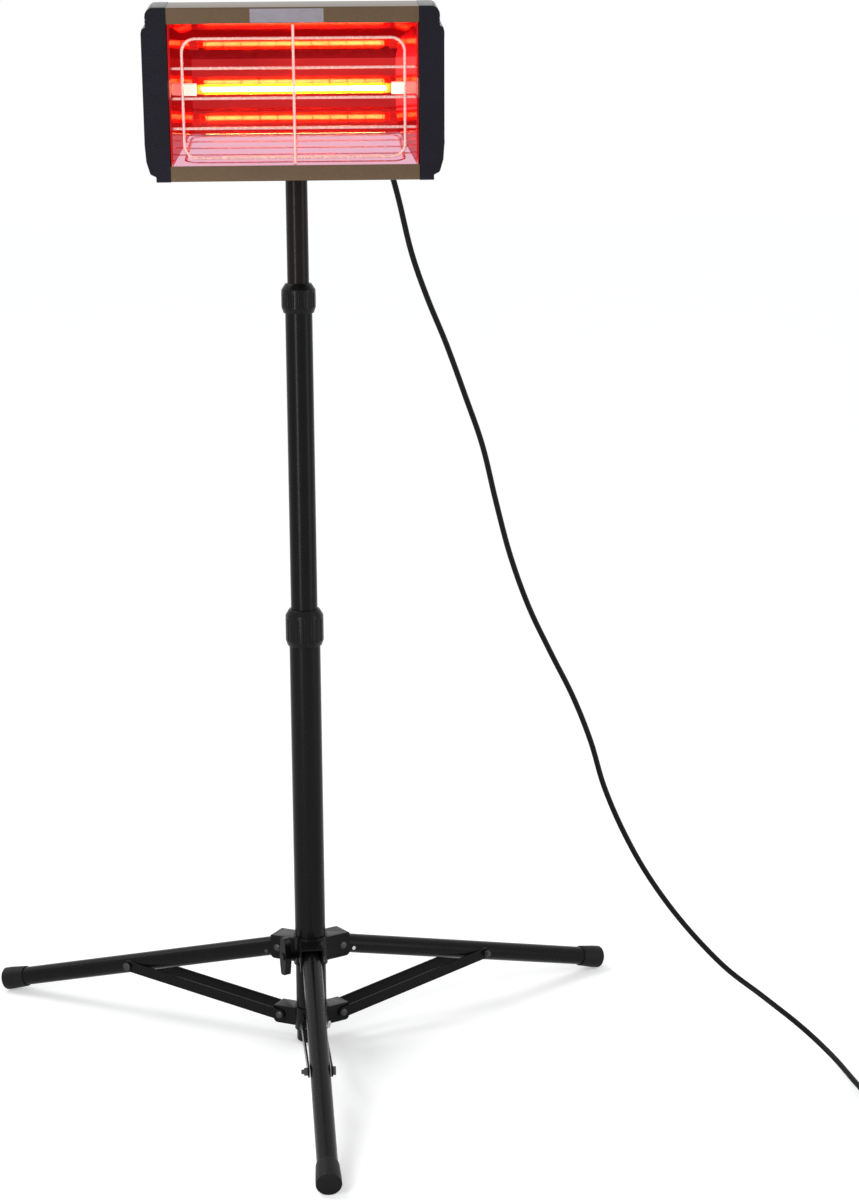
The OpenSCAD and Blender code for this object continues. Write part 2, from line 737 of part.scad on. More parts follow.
// Moulded end cap: the front outline and the side outline, crossed
module end_cap(s) {
    h = head_h / 2 + 0.5;
    w = cap_w;
    front = rounded([[0, -h], [w - 11, -h], [w - 11, -h + 6], [w - 5, -h + 9], [w - 1.2, -h + 22],
        [w, -h + 40], [w, h - 26], [w - 1, h - 22], [w - 4.5, h - 20], [w - 4.5, h], [0, h]],
        [0, 1, 1, 4, 6, 0, 1.5, 1, 1, 9, 0]);
    side = rounded([[front_y - 1, -h], [front_y + flat_d, -h], [back_y + 1, -back_h / 2 - 1],
        [back_y + 1, back_h / 2 + 1], [front_y + flat_d, h], [front_y - 1, h]], [3, 9, 7, 7, 9, 3]);
    color("#22242e") on_head() translate([s * body_w / 2, 0, head_rise]) mirror([s < 0 ? 1 : 0, 0, 0])
        difference() {
            intersection() {
                translate([0, front_y + head_d / 2, 0]) along_y(head_d + 10) polygon(front);
                along_x(4 * w) polygon(side);
            }
            for (z = [h - 17, h - 13])
                translate([w - 5.5, front_y - 4, z]) cube([4, head_d + 10, 1]);
            for (z = [-cap_screw_z, cap_screw_z])
                translate([0, front_y + cap_screw_y, z]) rod_x(screw_d, -1, w + 1);
        }
}

module left_end_cap() {
    end_cap(-1);
}

module right_end_cap() {
    end_cap(1);
}

// Screws of the end caps, the bracket and the connection box's cover
module pan_screw(d, span, l) {
    translate([0, 0, -l]) cylinder(d = d, h = l);
    difference() {
        cylinder(d1 = span, d2 = span - 1.6, h = 2.2);
        translate([-span, -0.4, 1.2]) cube([2 * span, 0.8, 3]);
    }
}

module housing_screws() {
    color("#8a8a8c") on_head() {
        for (s = [-1, 1], z = [-cap_screw_z, cap_screw_z])
            translate([s * (head_w / 2 + 0.1), front_y + cap_screw_y, head_rise + z])
                rotate([0, s * 90, 0]) pan_screw(screw_d, 7, cap_w - 2);
        for (p = bracket_screws)
            translate([p.x, back_y + bracket_t, p.y]) rotate([-90, 0, 0])
                pan_screw(screw_d, 7.5, bracket_screw_l);
        for (x = [-1, 1], z = [-1, 1])
            translate([box_x + x * (box_w / 2 - 5), box_y1, head_rise + z * (box_h / 2 - 5)])
                rotate([-90, 0, 0]) pan_screw(box_screw_d, 5.5, 10);
    }
}

// Folded mirror trough: two outer panels, two inner panels and a back panel
module reflector() {
    t = reflector_t;
    top = [for (p = trough) [front_y + shell_t + 0.1 + p.x, p.y]];
    back = [for (i = [len(top) - 1:-1:0]) [top[i].x + t, top[i].y + t * 0.4]];
    half = concat(top, [[top[2].x, 0]], [[top[2].x + t, 0]], back);
    color("#d41a1a") on_head() translate([0, 0, head_rise]) difference() {
        for (s = [0, 1]) mirror([0, 0, s]) along_x(2 * end_x) polygon(half);
        for (s = [-1, 1])
            translate([s * (end_x - 22), back_y - 20, 0]) rod_y(3.4, 30);
    }
}

// Flat end plates of the trough, with a window for each lamp holder
module reflector_ends() {
    y0 = front_y + shell_t + 0.1;
    outline = concat([for (p = trough) [y0 + p.x, p.y]], mirror_y([for (p = trough) [y0 + p.x, p.y]]));
    color("#c01515") on_head() translate([0, 0, head_rise])
        for (s = [-1, 1])
            difference() {
                translate([s * (end_x + 0.5), 0, 0]) along_x(1) polygon(outline);
                translate([s * end_x, lamp_y, 0]) cube([6, holder_w, holder_h], center = true);
                for (z = [-1:1])
                    translate([s * end_x, guard_y + weld, z * wire_pitch - guard_drop])
                        rod_x(wire_d, -4, 4);
            }
}

// Ceramic sockets that the lamp's contacts spring into
module lamp_holders() {
    color("#e8e0d2") on_head() translate([0, lamp_y, head_rise])
        for (s = [-1, 1])
            translate([s * (end_x + 1), 0, 0]) mirror([s < 0 ? 1 : 0, 0, 0])
                difference() {
                    union() {
                        translate([-1.5, 0, 0]) cube([5, holder_w, holder_h], center = true);
                        rod_x(13, -5.5, -1.5);
                    }
                    rod_x(contact_d + 2 * pivot_fit, -8, -1);
                }
}

// Quartz tube with its small sealing tip
module lamp_glass() {
    long = lamp_l / 2 - 24;
    color("#ffb060") on_head() translate([0, lamp_y, head_rise]) difference() {
        union() {
            rod_x(lamp_d, -long, long);
            translate([0, 0, -lamp_d / 2 - 2.4]) cylinder(d1 = 1.5, d2 = 4, h = 4);
        }
        rod_x(lamp_d - 2, -long + 1.5, long - 1.5);
    }
}

// Ceramic ends with their contact pins
module lamp_ends() {
    long = lamp_l / 2 - 24;
    color("#f2ead8") on_head() translate([0, lamp_y, head_rise])
        for (s = [0, 1]) mirror([s, 0, 0]) {
            translate([long + 7, 0, 0]) cube([14, 8, lamp_d + 1], center = true);
            rod_x(contact_d, long + 14, lamp_l / 2 - 1);
        }
}

// Coiled tungsten core with a support disc every few centimetres
module lamp_filament() {
    long = lamp_l / 2 - 27;
    supports = floor(long / support_pitch);
    color("#ffd070") on_head() translate([0, lamp_y, head_rise]) {
        rod_x(2.2, -long, long);
        for (k = [-supports:supports])
            rod_x(lamp_d - 2, k * support_pitch - 0.3, k * support_pitch + 0.3);
    }
}

// Welded guard: a ring with rounded corners, three level wires and one upright
module wire_guard() {
    w = ring_w / 2;
    h = ring_h / 2;
    c = 14;
    reach = trough[0].y - 1.3;
    color("#cfcfd4") on_head() translate([0, guard_y, head_rise - guard_drop]) {
        for (s = [-1, 1]) {
            translate([0, 0, s * h]) rod_x(wire_d, c - w, w - c);
            translate([s * w, 0, c - h]) cylinder(d = wire_d, h = 2 * (h - c));
        }
        for (x = [0, 1], z = [0, 1])
            mirror([x, 0, 0]) mirror([0, 0, z])
                translate([w - c, 0, h - c]) rotate([90, 0, 0])
                    rotate_extrude(angle = 90) translate([c, 0]) circle(d = wire_d, $fn = 32);
        for (k = [-1:1])
            translate([0, weld, k * wire_pitch]) rod_x(wire_d, -end_x - 0.9, end_x + 0.9);
        translate([0, -weld, guard_drop - reach]) cylinder(d = wire_d, h = 2 * reach);
    }
}

// Outline of the connection box, seen from the rear
box_front = rounded(box_outline(-box_w / 2, box_w / 2, -box_h / 2, box_h / 2), 4);

// Connection box on the housing's back, open to the rear, with its gland hole below
module junction_box() {
    x0 = box_x - box_w / 2;
    color("#1d1d20") on_head() translate([0, 0, head_rise]) difference() {
        translate([box_x, (box_y0 + box_y1 - 2.5) / 2, 0])
            along_y(box_d - 2.5) polygon(box_front);
        difference() {
            translate([x0 + box_wall, box_y0 + box_wall, -box_h / 2 + box_wall])
                cube([box_w - 2 * box_wall, box_d, box_h - 2 * box_wall]);
            for (x = [-1, 1], z = [-1, 1])
                translate([box_x + x * (box_w / 2 - 5), 0, z * (box_h / 2 - 5)]) rod_y(8, 4 * box_d);
        }
        for (x = [-1, 1], z = [-1, 1])
            translate([box_x + x * (box_w / 2 - 5), box_y1, z * (box_h / 2 - 5)]) rod_y(box_screw_d, 30);
        translate([gland_x, gland_y, -box_h / 2 - 1]) cylinder(d = 11, h = box_wall + 2);
        translate([box_x, box_y0, 0]) rod_y(12, 12);
    }
}

module junction_cover() {
    color("#1d1d20") on_head() translate([0, 0, head_rise]) difference() {
        translate([box_x, box_y1 - 1.25, 0])
            along_y(2.5) polygon(box_front);
        translate([box_x - 7, box_y1, 0]) cube([13, 12, 19], center = true);
        for (x = [-1, 1], z = [-1, 1])
            translate([box_x + x * (box_w / 2 - 5), box_y1, z * (box_h / 2 - 5)]) rod_y(box_screw_d, 30);
    }
}

// Terminal strip inside the box
module terminal_block() {
    color("#e6e0c8") on_head() translate([box_x + 12, box_y0 + box_wall + 5, head_rise + 2])
        difference() {
            cube([16, 10, 28], center = true);
            for (z = [-9, 0, 9]) {
                translate([0, 0, z]) rod_x(3, -10, 10);
                translate([0, 3, z]) rod_y(3.4, 8);
            }
        }
}

// Frame of the rocker switch in the cover, and the rocker that tips in it
module switch_frame() {
    color("#101010") on_head() translate([box_x - 7, box_y1, head_rise]) difference() {
        union() {
            translate([0, 0.9, 0]) along_y(1.8) polygon(rounded(box_outline(-8.5, 8.5, -11.5, 11.5), 2));
            translate([0, -8, 0]) cube([13, 16, 19], center = true);
        }
        cube([10.6, 14, 16.6], center = true);
        translate([0, -3, 0]) rod_x(2, -5.8, 5.8);
    }
}

module switch_rocker() {
    outline = [[-2, -6.8], [2.4, -7.1], [1.2, 0], [2.4, 7.1], [-2, 6.8]];
    color("#b51218") on_head() translate([box_x - 7, box_y1 - 3, head_rise]) rotate([rocker_tip, 0, 0])
        union() {
            translate([0, 2.4, 0]) along_x(9.8) polygon(outline);
            rod_x(2 - 2 * pivot_fit, -5.6, 5.6);
        }
}

// Gland with a hexagon body and a domed nut
module cable_gland() {
    color("#1a1a1c") on_head() translate([gland_x, gland_y, box_z]) difference() {
        union() {
            translate([0, 0, -7]) cylinder(d = gland_d, h = 7, $fn = 6);
            cylinder(d = 11, h = 5);
            translate([0, 0, -gland_h]) rotate_extrude()
                polygon(rounded([[0, 0], [5.6, 0], [gland_d / 2 - 0.6, 8], [gland_d / 2 - 0.6, gland_h - 7],
                    [0, gland_h - 7]], [0, 1, 3, 1, 0]));
        }
        translate([0, 0, -gland_h - 1]) cylinder(d = cord_d, h = gland_h + 8);
    }
}

// Tapered strain relief below the gland
module cord_boot() {
    color("#161616") on_head() translate([gland_x, gland_y, box_z - gland_h - boot_h]) difference() {
        union() {
            cylinder(d1 = cord_d + 2.4, d2 = 10.4, h = boot_h);
            for (k = [1:3]) translate([0, 0, 6 * k - 1]) cylinder(d = cord_d + 2.4 + 1.2 * k, h = 2);
        }
        translate([0, 0, 1.5]) cylinder(d = cord_d, h = boot_h);
    }
}

// The cord's free stretch and its coil
module cord_lead() {
    color("#17171a") sweep(smooth(route, rings_per_step), cord_d, cord_sides);
}

module cord_coil() {
    color("#17171a") sweep(coil_path, cord_d, 6);
}

// Tie round the coil's turns on the side away from the lead
module coil_tie() {
    inner = coil_r - coil_pitch * coil_turns / 2;
    w = coil_r - inner + cord_d;
    h = coil_lift + cord_d;
    color("#2a2a2e") translate([coil_x + (coil_r + inner) / 2, coil_y, coil_z + coil_lift / 2])
        difference() {
            cube([w + 0.2 + 2 * coil_tie_t, 7, h + 0.2 + 2 * coil_tie_t], center = true);
            cube([w + 0.2, 9, h + 0.2], center = true);
        }
}

// Moulded plug lying flat by the coil
module plug_body() {
    body = rounded([[-7, 0], [-13.5, 7], [-13.5, plug_l], [13.5, plug_l], [13.5, 7], [7, 0]],
        [2, 4, 2, 2, 4, 2]);
    color("#17171a") translate(coil_end) rotate([0, 0, 180]) {
        translate([0, neck_l, -plug_t / 2]) linear_extrude(plug_t) polygon(body);
        rotate([-90, 0, 0]) cylinder(d1 = cord_d + 2, d2 = 13, h = neck_l + 1);
        for (k = [1:3])
            translate([0, 5 * k, 0]) rotate([-90, 0, 0]) cylinder(d = cord_d + 3 + 1.4 * k, h = 2);
    }
}

// Two flat blades and a round earth pin
module plug_pins() {
    color("#c9b98a") translate(coil_end) rotate([0, 0, 180]) translate([0, neck_l + plug_l, 0]) {
        for (s = [-1, 1]) translate([s * 6.35, 8.5, 1.5]) cube([1.5, 17, 6.3], center = true);
        translate([0, 0, -4.5]) rotate([-90, 0, 0]) cylinder(d = 4.8, h = 20);
    }
}

base_tube();
mast_end_plug();
lower_spider();
spider_pins();
spider_screw();
base_collet();
lower_twist_collar();
mid_tube();
mid_guide_sleeve();
mid_collet();
upper_twist_collar();
top_tube();
top_guide_sleeve();
hub_spider();
hub_pins();
hub_wing_knob();
leg_tube(0);  // leg_tube_front
leg_tube(1);  // leg_tube_right
leg_tube(2);  // leg_tube_left
foot_cap(0);  // foot_cap_front
foot_cap(1);  // foot_cap_right
foot_cap(2);  // foot_cap_left
leg_bolts(0);  // leg_bolts_front
leg_bolts(1);  // leg_bolts_right
leg_bolts(2);  // leg_bolts_left
brace(0);  // brace_front
brace(1);  // brace_right
brace(2);  // brace_left
brace_bolts(0);  // brace_bolts_front
brace_bolts(1);  // brace_bolts_right
brace_bolts(2);  // brace_bolts_left
tilt_socket();
tilt_bolt();
socket_wing_screw();
tilt_wing_nut();
tilt_bracket();
housing_shell();
left_end_cap();
right_end_cap();
housing_screws();
reflector();
reflector_ends();
lamp_holders();
lamp_glass();
lamp_ends();
lamp_filament();
wire_guard();
junction_box();
junction_cover();
terminal_block();
switch_frame();
switch_rocker();
cable_gland();
cord_boot();
cord_lead();
cord_coil();
coil_tie();
plug_body();
plug_pins();
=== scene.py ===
import math

import bmesh
import bpy
from mathutils import Matrix, Vector
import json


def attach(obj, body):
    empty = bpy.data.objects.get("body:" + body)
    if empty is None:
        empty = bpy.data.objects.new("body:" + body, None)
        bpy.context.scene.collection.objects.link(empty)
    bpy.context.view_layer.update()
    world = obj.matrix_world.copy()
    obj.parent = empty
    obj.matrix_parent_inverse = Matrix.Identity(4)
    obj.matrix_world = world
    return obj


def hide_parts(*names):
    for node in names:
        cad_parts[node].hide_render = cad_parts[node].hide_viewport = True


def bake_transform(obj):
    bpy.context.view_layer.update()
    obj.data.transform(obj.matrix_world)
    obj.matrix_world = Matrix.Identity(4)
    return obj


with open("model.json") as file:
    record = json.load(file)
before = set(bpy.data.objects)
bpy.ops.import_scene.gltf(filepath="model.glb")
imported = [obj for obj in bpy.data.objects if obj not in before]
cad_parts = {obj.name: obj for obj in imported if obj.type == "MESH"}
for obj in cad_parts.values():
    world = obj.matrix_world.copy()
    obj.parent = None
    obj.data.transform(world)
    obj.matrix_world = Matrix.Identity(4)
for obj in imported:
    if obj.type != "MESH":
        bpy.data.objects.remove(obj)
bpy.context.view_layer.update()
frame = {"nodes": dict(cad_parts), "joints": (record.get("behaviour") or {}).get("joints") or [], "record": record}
nodes = frame["nodes"]
MM = 0.001

# Places taken from the frame, in metres
joints = {j["name"]: j for j in frame["joints"]}
TILT_PIVOT = Vector(joints["head_tilt"]["pos_m"])
HEAD_TILT = math.radians(6)
HEAD = Matrix.Translation(TILT_PIVOT) @ Matrix.Rotation(HEAD_TILT, 4, "X")

# Head sizes in its own frame, which has the tilt pivot at its origin
HEAD_RISE = 36 * MM
HEAD_H = 179 * MM
FRONT_Y = -112 * MM
BAR_H = 16.5 * MM
LAMP_Y = -60 * MM

# Lower panel of the reflector: its colour, which is painted pink light of the pale surroundings and the lamp's red
# glow; the way it seems to face; and the heights between which it begins
PAINTED_PINK_LIGHT = (0.80, 0.45, 0.56)
PINK_FACING = (0, -0.875, 0.483)
PINK_FROM, PINK_TO = HEAD_RISE - 49.5 * MM, HEAD_RISE - 48.5 * MM

# Painted glow of the red mirror, and of its pink panel: the lamp's red light, painted on as emission
PAINTED_RED_GLOW = (0.14, 0.001, 0.002)
PAINTED_PINK_GLOW = (0.02, 0.005, 0.01)

# Sockets of the Mix node, for colours and for vectors: the two inputs and the output
MIX_COLORS = (6, 7, 2)
MIX_VECTORS = (4, 5, 1)
RELIEF = 0.3 * MM


def clean_nodes(name):
    """A new node material, its tree and its Principled shader."""
    made = bpy.data.materials.new(name)
    made.use_nodes = True
    tree = made.node_tree
    return made, tree, tree.nodes["Principled BSDF"]


def add(tree, kind, **values):
    """A node with its properties or input values set by name."""
    made = tree.nodes.new(kind)
    for key, value in values.items():
        if hasattr(made, key):
            setattr(made, key, value)
        else:
            made.inputs[key.replace("_", " ")].default_value = value
    return made


def noise(tree, size, detail=4.0, stretch=(1, 1, 1)):
    """Noise of a given grain size in metres, in the object's own coordinates."""
    place = add(tree, "ShaderNodeTexCoord")
    mapping = add(tree, "ShaderNodeMapping")
    mapping.inputs["Scale"].default_value = stretch
    made = add(tree, "ShaderNodeTexNoise", Scale=1 / size, Detail=detail)
    tree.links.new(place.outputs["Object"], mapping.inputs["Vector"])
    tree.links.new(mapping.outputs["Vector"], made.inputs["Vector"])
    return made.outputs["Fac"]


def spread(tree, value, low, high, start=0.35, end=0.65):
    """A value from noise, spread between two numbers."""
    made = add(tree, "ShaderNodeMapRange")
    made.inputs["From Min"].default_value = start
    made.inputs["From Max"].default_value = end
    made.inputs["To Min"].default_value = low
    made.inputs["To Max"].default_value = high
    tree.links.new(value, made.inputs["Value"])
    return made.outputs["Result"]


def shades(tree, value, dark, light):
    """Two shades mixed by a value."""
    first, second, mixed = MIX_COLORS
    made = add(tree, "ShaderNodeMix", data_type="RGBA")
    made.inputs[first].default_value = (*dark, 1)
    made.inputs[second].default_value = (*light, 1)
    tree.links.new(value, made.inputs["Factor"])
    return made.outputs[mixed]


def blended(tree, value, source, light):
    """A colour from another node, mixed with a fixed one by a value."""
    first, second, mixed = MIX_COLORS
    made = add(tree, "ShaderNodeMix", data_type="RGBA")
    tree.links.new(source, made.inputs[first])
    made.inputs[second].default_value = (*light, 1)
    tree.links.new(value, made.inputs["Factor"])
    return made.outputs[mixed]


def scaled(color, factor):
    """A colour made darker or lighter."""
    return tuple(min(1.0, c * factor) for c in color)


def surface(name, color, rough, metal=0.0, coat=0.0, grain=2 * MM, depth=0.05, vary=0.15, edge=0.35 * MM,
            stretch=(1, 1, 1), rough_vary=0.08, specular=0.5):
    """A material with mottled colour and roughness, a fine grain in relief and softened edges."""
    made, tree, shader = clean_nodes(name)
    broad = noise(tree, grain * 18, 3)
    fine = noise(tree, grain, 5, stretch)
    tint = shades(tree, spread(tree, broad, 0, 1), scaled(color, 1 - vary), scaled(color, 1 + vary))
    tree.links.new(tint, shader.inputs["Base Color"])
    tree.links.new(spread(tree, fine, max(rough - rough_vary, 0.02), rough + rough_vary),
                   shader.inputs["Roughness"])
    shader.inputs["Metallic"].default_value = metal
    shader.inputs["Specular IOR Level"].default_value = specular
    shader.inputs["Coat Weight"].default_value = coat
    shader.inputs["Coat Roughness"].default_value = 0.12
    soft = add(tree, "ShaderNodeBevel", samples=4, Radius=edge)
    relief = add(tree, "ShaderNodeBump", Strength=depth, Distance=RELIEF)
    tree.links.new(fine, relief.inputs["Height"])
    tree.links.new(soft.outputs["Normal"], relief.inputs["Normal"])
    tree.links.new(relief.outputs["Normal"], shader.inputs["Normal"])
    return made


def glowing(name, color, strength, rough=0.3, alpha=1.0, grain=4 * MM, vary=0.15):
    """A material that gives light, a little uneven along its length."""
    made, tree, shader = clean_nodes(name)
    uneven = noise(tree, grain, 2)
    tint = shades(tree, spread(tree, uneven, 0, 1), scaled(color, 1 - vary), color)
    tree.links.new(tint, shader.inputs["Base Color"])
    tree.links.new(tint, shader.inputs["Emission Color"])
    shader.inputs["Emission Strength"].default_value = strength
    shader.inputs["Roughness"].default_value = rough
    shader.inputs["Alpha"].default_value = alpha
    return made


def head_coordinates(tree):
    """The head's own X, Y and Z, from the object's coordinates."""
    back = HEAD.inverted()
    place = add(tree, "ShaderNodeTexCoord")
    mapping = add(tree, "ShaderNodeMapping")
    mapping.inputs["Location"].default_value = back.to_translation()
    mapping.inputs["Rotation"].default_value = back.to_euler()
    parts = add(tree, "ShaderNodeSeparateXYZ")
    tree.links.new(place.outputs["Object"], mapping.inputs["Vector"])
    tree.links.new(mapping.outputs["Vector"], parts.inputs["Vector"])
    return parts.outputs


def painted_red_mirror(name):
    """Polished sheet whose red colour is painted light of the lamp, with a painted red glow. Also gives its tree,
    shader, colour and relief.
    """
    made, tree, shader = clean_nodes(name)
    broad = spread(tree, noise(tree, 45 * MM, 3, (0.3, 1, 1)), 0, 1)
    # Red base colour: painted red light of the lamp
    red = shades(tree, broad, (0.36, 0.016, 0.017), (0.52, 0.024, 0.023))
    tree.links.new(red, shader.inputs["Base Color"])
    shader.inputs["Metallic"].default_value = 1.0
    # Painted red glow: the lamp's light on the mirror, painted on as emission
    shader.inputs["Emission Color"].default_value = (*PAINTED_RED_GLOW, 1)
    shader.inputs["Emission Strength"].default_value = 1.0
    streaks = noise(tree, 6 * MM, 4, (1, 1, 0.05))
    tree.links.new(spread(tree, streaks, 0.04, 0.09), shader.inputs["Roughness"])
    relief = add(tree, "ShaderNodeBump", Strength=0.05, Distance=RELIEF)
    tree.links.new(streaks, relief.inputs["Height"])
    tree.links.new(relief.outputs["Normal"], shader.inputs["Normal"])
    return made, tree, shader, red, relief


def reflector_paint():
    """The red mirror, with painted pink light and a painted pink glow on the panel that faces up, which shows the
    pale surroundings in front.
    """
    made, tree, shader, red, relief = painted_red_mirror("reflector_mirror")
    low = spread(tree, head_coordinates(tree)["Z"], 1, 0, PINK_FROM, PINK_TO)
    # Lower panel: painted pink reflection of the pale surroundings and the lamp's red light, and a painted pink
    # glow
    tree.links.new(blended(tree, low, red, PAINTED_PINK_LIGHT), shader.inputs["Base Color"])
    glow = shades(tree, low, PAINTED_RED_GLOW, PAINTED_PINK_GLOW)
    tree.links.new(glow, shader.inputs["Emission Color"])
    facing = add(tree, "ShaderNodeVectorTransform", vector_type="NORMAL", convert_from="OBJECT",
                 convert_to="WORLD")
    facing.inputs["Vector"].default_value = PINK_FACING
    first, second, mixed = MIX_VECTORS
    bent = add(tree, "ShaderNodeMix", data_type="VECTOR")
    tree.links.new(low, bent.inputs["Factor"])
    tree.links.new(relief.outputs["Normal"], bent.inputs[first])
    tree.links.new(facing.outputs["Vector"], bent.inputs[second])
    tree.links.new(bent.outputs[mixed], shader.inputs["Normal"])
    return made


paints = {
    "mast_paint": surface("mast_paint", (0.0040, 0.0040, 0.0041), 0.25, grain=1.2 * MM, vary=0.12,
                          specular=0.1),
    "top_tube_paint": surface("top_tube_paint", (0.009, 0.0052, 0.0048), 0.25, grain=1.2 * MM,
                              specular=0.11),
    "black_plastic": surface("black_plastic", (0.0034, 0.0034, 0.0039), 0.27, grain=0.8 * MM, depth=0.08,
                             specular=0.14),
    "foot_rubber": surface("foot_rubber", (0.0045, 0.0045, 0.0045), 0.5, grain=1 * MM, depth=0.3,
                           specular=0.14),
    "steel": surface("steel", (0.55, 0.55, 0.56), 0.3, metal=1.0, grain=0.7 * MM, depth=0.1),
    "dark_steel": surface("dark_steel", (0.06, 0.06, 0.062), 0.35, metal=1.0, grain=0.8 * MM, depth=0.15),
    "housing_paint": surface("housing_paint", (0.125, 0.082, 0.050), 0.30, metal=0.9, grain=0.9 * MM,
                             depth=0.04, vary=0.02, stretch=(0.3, 1, 1), rough_vary=0.03),
    "cap_plastic": surface("cap_plastic", (0.0052, 0.0046, 0.0098), 0.26, grain=1.1 * MM, depth=0.1,
                           vary=0.1, edge=0.6 * MM, specular=0.16),
    "reflector_mirror": reflector_paint(),
    "quartz": glowing("quartz", (1.0, 0.22, 0.012), 2.2, rough=0.08, alpha=0.45),
    # Ceramic lamp ends: a painted glow stands in for the filament's light on them
    "ceramic": glowing("ceramic", (0.98, 0.80, 0.68), 0.75, rough=0.5, grain=2 * MM, vary=0.08),
    "filament": glowing("filament", (1.0, 0.95, 0.30), 48.0),
    # Guard wires: chrome, with the lamp's red light painted into their pink colour
    "guard_chrome": surface("guard_chrome", (0.82, 0.45, 0.42), 0.24, metal=0.3, grain=3 * MM, depth=0.05,
                            vary=0.05),
    "terminal_plastic": surface("terminal_plastic", (0.75, 0.7, 0.55), 0.45),
    "switch_red": surface("switch_red", (0.4, 0.008, 0.012), 0.25, coat=0.3, depth=0.03),
    "cord_rubber": surface("cord_rubber", (0.0034, 0.0034, 0.0037), 0.34, grain=1.5 * MM, depth=0.12,
                           specular=0.1),
    "plug_brass": surface("plug_brass", (0.6, 0.48, 0.26), 0.28, metal=1.0, grain=1 * MM, depth=0.08,
                          stretch=(1, 0.1, 1)),
}
slot_of = {part["node"]: part["material_slot"] for part in frame["record"]["subparts"]}


def paint(piece, slot):
    """Gives a piece the material of its slot alone."""
    piece.data.materials.clear()
    piece.data.materials.append(paints[slot])


for name, node in nodes.items():
    paint(node, slot_of[name])
for side in ("front", "left"):
    nodes[f"leg_bolts_{side}"].data.materials[0] = paints["dark_steel"]
# End sheets: the mirror with painted red light and a painted red glow
nodes["reflector_ends"].data.materials[0] = painted_red_mirror("end_sheet_mirror")[0]


# Camera of the photograph
CAMERA_AT = Vector((0.01957, -2.88526, 1.14359))
YAW, PITCH, ROLL = 0.0422, 0.2113, -0.0083
LENS_MM = 78.467
SENSOR_MM = 36.0


def add_camera():
    """Camera that looks along the yaw and pitch, turned by the roll."""
    ahead = Vector((math.sin(YAW) * math.cos(PITCH), math.cos(YAW) * math.cos(PITCH), -math.sin(PITCH)))
    level = Vector((math.cos(YAW), -math.sin(YAW), 0))
    above = level.cross(ahead)
    right = level * math.cos(ROLL) + above * math.sin(ROLL)
    up = above * math.cos(ROLL) - level * math.sin(ROLL)
    turn = Matrix((right, up, -ahead)).transposed().to_4x4()
    lens = bpy.data.cameras.new("camera")
    lens.sensor_fit = "VERTICAL"
    lens.sensor_height = SENSOR_MM
    lens.lens = LENS_MM
    made = bpy.data.objects.new("camera", lens)
    made.matrix_world = Matrix.Translation(CAMERA_AT) @ turn
    bpy.context.scene.collection.objects.link(made)
    bpy.context.scene.camera = made


add_camera()


def new_piece(name, mesh, slot, angle=35):
    """An object for a mesh, smooth where its faces meet gently, painted as its slot."""
    made = bpy.data.objects.new(name, mesh)
    bpy.context.scene.collection.objects.link(made)
    mesh.polygons.foreach_set("use_smooth", [True] * len(mesh.polygons))
    mesh.set_sharp_from_angle(angle=math.radians(angle))
    paint(made, slot)
    return made


def tube_mesh(name, path, radius, sides):
    """A tube along a path, with flat ends. Its rings are carried along without twist."""
    points = [Vector(p) for p in path]
    ahead = [points[min(i + 1, len(points) - 1)] - points[max(i - 1, 0)] for i in range(len(points))]
    side = ahead[0].cross(Vector((0, 1, 0.1))).normalized()
    verts, faces = [], []
    for i, (point, way) in enumerate(zip(points, ahead)):
        way = way.normalized()
        side = (side - way * side.dot(way)).normalized()
        other = way.cross(side)
        for k in range(sides):
            turn = 2 * math.pi * k / sides
            verts.append(point + radius * (side * math.cos(turn) + other * math.sin(turn)))
        for k in range(sides if i else 0):
            n = (k + 1) % sides
            here, last = i * sides, (i - 1) * sides
            faces.append((last + k, last + n, here + n, here + k))
    faces.append(tuple(reversed(range(sides))))
    faces.append(tuple(range(len(verts) - sides, len(verts))))
    mesh = bpy.data.meshes.new(name)
    mesh.from_pydata(verts, [], faces)
    return mesh


def smooth_path(points, steps):
    """Points of a smooth curve through a route's points."""
    made = []
    for i in range(len(points) - 1):
        a = points[max(i - 1, 0)]
        b, c = points[i], points[i + 1]
        d = points[min(i + 2, len(points) - 1)]
        for k in range(steps):
            t = k / steps
            made.append(b * (2 * t ** 3 - 3 * t ** 2 + 1) + (c - a) / 2 * (t ** 3 - 2 * t ** 2 + t)
                        + c * (3 * t ** 2 - 2 * t ** 3) + (d - b) / 2 * (t ** 3 - t ** 2))
    return made + [points[-1]]


